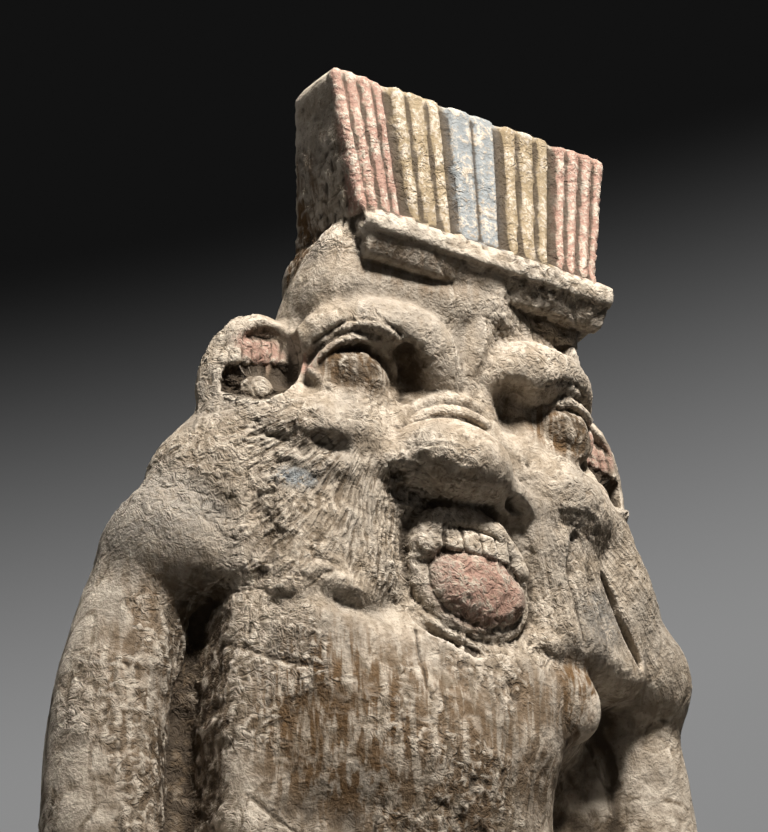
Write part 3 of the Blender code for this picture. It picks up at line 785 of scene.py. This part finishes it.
def keep_colours(figure, name, values):
    attribute = figure.data.attributes.new(name, "FLOAT_COLOR", "POINT")
    attribute.data.foreach_set("color", np.ascontiguousarray(values, np.float32).ravel())


def spot(points, centre, radii):
    """1 in the middle of a soft spot, falling to 0 at its radii."""
    gap = np.linalg.norm((points - centre) / radii, axis=1)
    return 1 - eased(gap, 0.5, 1)


def strongest(points, places):
    """The strongest of several soft spots, each with a centre, radii and a share."""
    spots = [share * spot(points, np.array(centre), radii) for centre, radii, share in places]
    return np.maximum.reduce(spots)


def painted(points):
    """What is left of the paint, and a painted highlight on the near shoulder: their colour, and how much of
    them.
    """
    result = np.zeros((len(points), 4))

    def lay(colour, amount):
        amount = np.clip(amount, 0, 1)[:, None]
        result[:, :3] = result[:, :3] * (1 - amount) + np.array(colour) * amount
        result[:, 3:] = np.maximum(result[:, 3:], amount)

    x, y, z = points.T
    rise = np.clip((z - CROWN_FOOT) / (CROWN_TOP - CROWN_FOOT), 0, 1)
    across = (x - 3) / (CROWN_HALF_WIDTH * (1 + (CROWN_SPREAD - 1) * rise))
    front = eased(z, CROWN_FOOT - 4, CROWN_FOOT + 3) * eased(-y, 96, 103)
    for start, end, colour in zip(FEATHER_EDGES, FEATHER_EDGES[1:], FEATHER_COLOURS):
        low = start - 0.1 * (start == -1)
        high = end + 0.1 * (end == 1)
        inside = eased(across, low - 0.01, low + 0.01) * eased(-across, -high - 0.01, -high + 0.01)
        lay(colour, 0.85 * front * inside)
    mouth_gap = points - np.array(MOUTH)
    tongue = spot(mouth_gap, (0, -8, -12), (62, 40, 48))
    lay(RED, 0.8 * tongue * eased(-z, -516, -508) * eased(-y, 84, 92))
    for side in (-1, 1):
        corner = np.array((side * 140, -76, 652 + 8 * (side > 0)))
        lay(RED, 0.8 * spot(points, corner, (17, 18, 15)))
        tuft = np.array((side * (EAR[0] - 6), EAR[1] - 10, EAR[2] + 22))
        lay(RED, 0.75 * spot(points, tuft, (34, 24, 22)))
    # a pale patch on the top of the near shoulder: a painted highlight
    lay(SHOULDER_HIGHLIGHT, 0.7 * spot(points, np.array((-236, 0, 516)), (80, 70, 56)))
    lay(BLUE, 0.8 * spot(points, np.array((-150, -60, 545)), (30, 40, 16)))
    lay(BLUE, 0.6 * spot(points, np.array((-200, -10, 520)), (40, 40, 30)))
    lay(BLUE, 0.5 * spot(points, np.array((120, -50, 500)), (60, 50, 60)))
    return result


def stains_and_shadows(points):
    """Brown stains: on the crown's side, down the belly, round the far breast, and with painted shade in the
    eyes; painted shadow under the band.
    """
    # the second spot, on the forehead under the band, is a painted shadow
    places = [((-125, -20, 800), (30, 60, 90), 1), ((-60, -110, 745), (90, 40, 22), 0.4)]
    places += [((-130, -90, 340), (100, 80, 110), 1), ((-50, -100, 320), (120, 80, 130), 0.8)]
    places += [((60, -90, 370), (80, 60, 80), 0.7), ((-236, 0, 360), (80, 80, 150), 0.6)]
    places += [((110, -70, 424), (48, 40, 46), 1), ((-27, -92, 388), (26, 20, 30), 0.6)]
    # brown in the eyes under the brows: stain with painted shade
    places += [((side * 102, -92, 648), (46, 28, 28), 1) for side in (-1, 1)]
    return strongest(points, places)


def sooty_and_shaded(points):
    """Dark soot and painted shade: over the body below the mane as a painted fall-off of light, and in the
    face's hollows and beside the belly.
    """
    places = [((-54, -94, 662), (26, 28, 42), 0.95), ((46, -92, 656), (26, 28, 28), 0.8)]
    places += [((-100, -96, 646), (44, 26, 28), 1), ((106, -90, 654), (40, 24, 24), 0.9)]
    places += [((-68, -88, 560), (14, 26, 14), 0.8), ((46, -90, 560), (14, 26, 14), 0.8)]
    places += [((-210, -4, 350), (48, 66, 180), 1), ((86, -70, 362), (56, 60, 76), 0.9)]
    places += [((196, -20, 370), (60, 60, 120), 0.8), ((-117, -96, 584), (26, 18, 12), 0.3)]
    places += [((side * 168, -34, 636), (30, 22, 44), 0.8) for side in (-1, 1)]
    # below the mane the body is darkened by half: a painted fall-off of light away from the head
    return np.maximum(strongest(points, places), 0.5 * eased(-points[:, 2], -450, -390))


def keep_strands(figure, points):
    """Keeps coordinates that run along the mane's strands, and how much hair there is."""
    across, angle, fall = fan(points)
    flow = np.stack((angle * 0.13, fall * MM, np.sign(points[:, 0])), axis=1)
    attribute = figure.data.attributes.new("flow", "FLOAT_VECTOR", "POINT")
    attribute.data.foreach_set("vector", np.ascontiguousarray(flow, np.float32).ravel())
    under_cheek = 560 + 0.5 * np.maximum(across - 100, 0)
    within = eased(points[:, 2], HEM - 20, HEM) * eased(-points[:, 2], -under_cheek - 20, -under_cheek)
    within *= eased(across, 60, 72) * eased(-points[:, 1], -46, -10) * eased(fall, 30, 70)
    within *= np.where(points[:, 0] < 0, eased(-across, -212, -172), 0.4)
    keep_values(figure, "hairy", within)


def colour_zones(figure):
    points = read_points(figure.data)
    upright = lean(points, 1)
    keep_colours(figure, "paint", painted(upright))
    keep_values(figure, "stain_and_shadow", stains_and_shadows(upright))
    keep_values(figure, "soot_and_shade", sooty_and_shaded(upright))
    keep_values(figure, "rough", rough_zones(upright))
    keep_strands(figure, upright)
    # How sunken each point lies, finely and broadly; the material paints shade, with some dirt, into creases
    # and hollows with these
    keep_values(figure, "crevice", np.clip(hollowness(figure, 3) / 0.8, -1, 1))
    keep_values(figure, "hollow", np.clip(hollowness(figure, 60) / 9, -1, 1))


class Recipe:
    """A material's nodes, put together step by step."""

    def __init__(self, name):
        self.material = bpy.data.materials.new(name)
        self.material.use_nodes = True
        self.tree = self.material.node_tree
        self.shader = self.tree.nodes["Principled BSDF"]
        self.place = self.tree.nodes.new("ShaderNodeTexCoord").outputs["Object"]

    def step(self, kind, inputs, **settings):
        made = self.tree.nodes.new("ShaderNode" + kind)
        for name, value in settings.items():
            setattr(made, name, value)
        for name, value in inputs.items():
            self.feed(made.inputs[name], value)
        return made

    def feed(self, socket, value):
        if isinstance(value, bpy.types.NodeSocket):
            self.tree.links.new(value, socket)
        else:
            socket.default_value = value

    def noise(self, size_mm, detail=3, roughness=0.55, stretch=(1, 1, 1), place=None, twist=0.0):
        inputs = {"Vector": place or self.place, "Scale": stretch}
        inputs = {"Vector": self.step("Mapping", inputs).outputs["Vector"], "Scale": 1000 / size_mm}
        inputs.update({"Detail": detail, "Roughness": roughness, "Distortion": twist})
        return self.step("TexNoise", inputs).outputs["Fac"]

    def ridged(self, value):
        """1 along the crests where the value passes its middle, falling away to both sides."""
        away = self.calc("ABSOLUTE", self.calc("SUBTRACT", value, 0.5))
        return self.between(away, 0.0, 0.22, 1.0, 0.0)

    def between(self, value, low, high, to_low=0.0, to_high=1.0):
        inputs = {"Value": value, "From Min": low, "From Max": high, "To Min": to_low, "To Max": to_high}
        return self.step("MapRange", inputs, interpolation_type="SMOOTHSTEP").outputs["Result"]

    def calc(self, operation, first, second=0.0, clamp=False):
        made = self.step("Math", {0: first, 1: second}, operation=operation, use_clamp=clamp)
        return made.outputs["Value"]

    def mix(self, share, first, second, blend="MIX"):
        made = self.step("Mix", {}, data_type="RGBA", blend_type=blend, clamp_factor=True)
        for index, value in ((0, share), (6, first), (7, second)):
            self.feed(made.inputs[index], value)
        return made.outputs[2]

    def attribute(self, name, output):
        return self.step("Attribute", {}, attribute_name=name).outputs[output]

    def bump(self, height, distance_mm, strength, normal=None):
        inputs = {"Height": height, "Distance": distance_mm / 1000, "Strength": strength}
        if normal is not None:
            inputs["Normal"] = normal
        return self.step("Bump", inputs).outputs["Normal"]


def limestone():
    """Buff limestone, crumbled, with dirt and painted shade in its hollows, worn edges partly painted
    highlight, and flaking paint.
    """
    look = Recipe("painted_limestone")
    broad = look.noise(75, 3, 0.55)
    middle = look.noise(17, 4, 0.62, twist=0.6)
    fine = look.noise(3.4, 3, 0.65)
    streaks = look.noise(8, 3, 0.6, (1, 1, 0.1))
    crust = look.ridged(look.noise(9, 3, 0.6, twist=0.8))
    strands = look.noise(3.2, 2, 0.5, (1, 0.14, 1), look.attribute("flow", "Vector"), 0.4)
    rough = look.attribute("rough", "Fac")
    hairy = look.attribute("hairy", "Fac")
    soot_and_shade = look.attribute("soot_and_shade", "Fac")
    rough = look.calc("ADD", look.calc("MULTIPLY", rough, 0.8), 0.2)
    colour = look.mix(look.between(middle, 0.4, 0.6), STONE_MID, STONE_LIGHT)
    colour = look.mix(look.between(broad, 0.44, 0.6, 0, 0.6), colour, STONE_GREY)
    colour = look.mix(look.between(streaks, 0.45, 0.65, 0, 0.45), colour, STONE_MID)
    # darker between the crumbs of the rough relief: painted shade with brown dirt
    crust_gap_shade = look.calc("MULTIPLY", rough, look.between(crust, 0.5, 0.05, 0, 0.75))
    colour = look.mix(crust_gap_shade, colour, STONE_DARK)
    colour = look.mix(look.between(fine, 0.54, 0.7, 0, 0.55), colour, STONE_DARK)
    # darker between the mane's strands: painted shade
    strand_gap_shade = look.calc("MULTIPLY", hairy, look.between(strands, 0.5, 0.36, 0, 0.7))
    colour = look.mix(strand_gap_shade, colour, STONE_DARK)
    # brown stains, a painted shadow under the band, and stain with painted shade in the eyes
    stain_and_shadow = look.calc("MULTIPLY", look.attribute("stain_and_shadow", "Fac"), look.between(streaks, 0.40, 0.56))
    colour = look.mix(stain_and_shadow, colour, BROWN)
    # soot with painted shade in the face's hollows, nostrils, ears and beside the body, and a painted
    # fall-off of light below the mane
    colour = look.mix(look.calc("MULTIPLY", soot_and_shade, look.between(middle, 0.36, 0.6, 1, 0.35)), colour, SOOT_SHADE_BROWN)
    crevice = look.attribute("crevice", "Fac")
    hollow = look.attribute("hollow", "Fac")
    # paler on raised edges: wear with a painted highlight
    colour = look.mix(look.between(crevice, -0.1, -0.9, 0, 0.6), colour, STONE_PALE)
    paint_left = look.between(look.calc("ADD", fine, look.calc("MULTIPLY", middle, 0.8)), 0.84, 1.08)
    paint_share = look.attribute("paint", "Alpha")
    paint_share = look.calc("MULTIPLY", paint_share, look.calc("SUBTRACT", 1.0, paint_left))
    colour = look.mix(paint_share, colour, look.attribute("paint", "Color"))
    # darker deep in the broad hollows: painted shade
    colour = look.mix(look.between(hollow, 0.1, 1.0, 0, 0.75), colour, STONE_DARK)
    # darkest in the fine creases: painted shade mixed with dirt
    colour = look.mix(look.between(crevice, 0.05, 0.9, 0, 0.85), colour, CREASE_DIRT_SHADE)
    look.feed(look.shader.inputs["Base Color"], colour)
    look.feed(look.shader.inputs["Roughness"], look.between(fine, 0.3, 0.7, 0.78, 0.95))
    height = look.calc("MULTIPLY", look.calc("MULTIPLY", rough, crust), 1.3)
    height = look.calc("ADD", height, look.calc("MULTIPLY", middle, 3.0))
    height = look.calc("ADD", height, look.calc("MULTIPLY", fine, 1.3))
    height = look.calc("ADD", height, look.calc("MULTIPLY", look.calc("MULTIPLY", hairy, strands), 4.0))
    look.feed(look.shader.inputs["Normal"], look.bump(height, 1.0, 1.0))
    look.shader.inputs["Specular IOR Level"].default_value = 0.3
    return look.material


def plain(name, colour, roughness):
    material = bpy.data.materials.new(name)
    material.use_nodes = True
    shader = material.node_tree.nodes["Principled BSDF"]
    shader.inputs["Base Color"].default_value = colour
    shader.inputs["Roughness"].default_value = roughness
    return material


def aim(thing, point):
    thing.rotation_mode = "QUATERNION"
    way = Vector(point) - thing.location
    thing.rotation_quaternion = way.to_track_quat("-Z", "Y")


def lamp(name, place, size, power, colour=(1, 1, 1), spread=180):
    light = bpy.data.lights.new(name, "AREA")
    light.spread = math.radians(spread)
    light.size = size
    light.energy = power
    light.color = colour
    thing = bpy.data.objects.new(name, light)
    bpy.context.scene.collection.objects.link(thing)
    thing.location = place
    aim(thing, LAMP_TARGET)


def surround():
    """A backdrop that darkens upwards, and a dim even light from all round."""
    world = bpy.data.worlds.new("surround")
    world.use_nodes = True
    nodes = world.node_tree.nodes
    link = world.node_tree.links.new
    ray = nodes.new("ShaderNodeTexCoord").outputs["Generated"]
    height = nodes.new("ShaderNodeVectorMath")
    height.operation = "DOT_PRODUCT"
    link(ray, height.inputs[0])
    height.inputs[1].default_value = SLANT
    glow = nodes.new("ShaderNodeMapRange")
    glow.interpolation_type = "SMOOTHSTEP"
    for name, value in zip(("From Min", "From Max", "To Min", "To Max"), GLOW):
        glow.inputs[name].default_value = value
    link(height.outputs["Value"], glow.inputs["Value"])
    seen = nodes["Background"]
    link(glow.outputs["Result"], seen.inputs["Color"])
    dim = nodes.new("ShaderNodeBackground")
    dim.inputs["Color"].default_value = (0.03, 0.03, 0.031, 1)
    choice = nodes.new("ShaderNodeMixShader")
    link(nodes.new("ShaderNodeLightPath").outputs["Is Camera Ray"], choice.inputs["Fac"])
    link(dim.outputs["Background"], choice.inputs[1])
    link(seen.outputs["Background"], choice.inputs[2])
    link(choice.outputs["Shader"], nodes["World Output"].inputs["Surface"])
    bpy.context.scene.world = world


def studio():
    """A pale round floor, soft light from above, and a grey surround."""
    disc = bmesh.new()
    bmesh.ops.create_circle(disc, cap_ends=True, segments=96, radius=FLOOR_RADIUS)
    mesh = bpy.data.meshes.new("floor")
    disc.to_mesh(mesh)
    disc.free()
    floor = bpy.data.objects.new("floor", mesh)
    bpy.context.scene.collection.objects.link(floor)
    mesh.materials.append(plain("pale_floor", (0.62, 0.62, 0.61, 1), 0.8))
    lamp("key", (-0.35, -2.1, 3.2), 0.5, 6.8, (1, 0.955, 0.9), spread=24)
    lamp("side", (-2.8, -0.3, 1.6), 0.7, 9, (1, 0.97, 0.93))
    lamp("rim", (1.8, 1.4, 1.3), 1.0, 8, (0.93, 0.96, 1))
    surround()
    bpy.context.scene.view_settings.view_transform = "Standard"


def camera():
    """The photograph's place: low, on the figure's right, looking up."""
    lens = bpy.data.cameras.new("camera")
    lens.lens = CAMERA_LENS
    lens.sensor_width = 36
    lens.clip_end = 100
    thing = bpy.data.objects.new("camera", lens)
    bpy.context.scene.collection.objects.link(thing)
    thing.location = CAMERA_PLACE
    aim(thing, CAMERA_TARGET)
    bpy.context.scene.camera = thing


def make_figure():
    figure = carve(carved())
    weather(figure)
    cut_flat(figure)
    thin_out(figure)
    colour_zones(figure)
    write_points(figure.data, read_points(figure.data) * MM)
    figure.data.shade_smooth()
    figure.data.materials.append(limestone())
    return figure


camera()
studio()
bes = make_figure()
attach(bes, "root")
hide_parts("bes_figure")
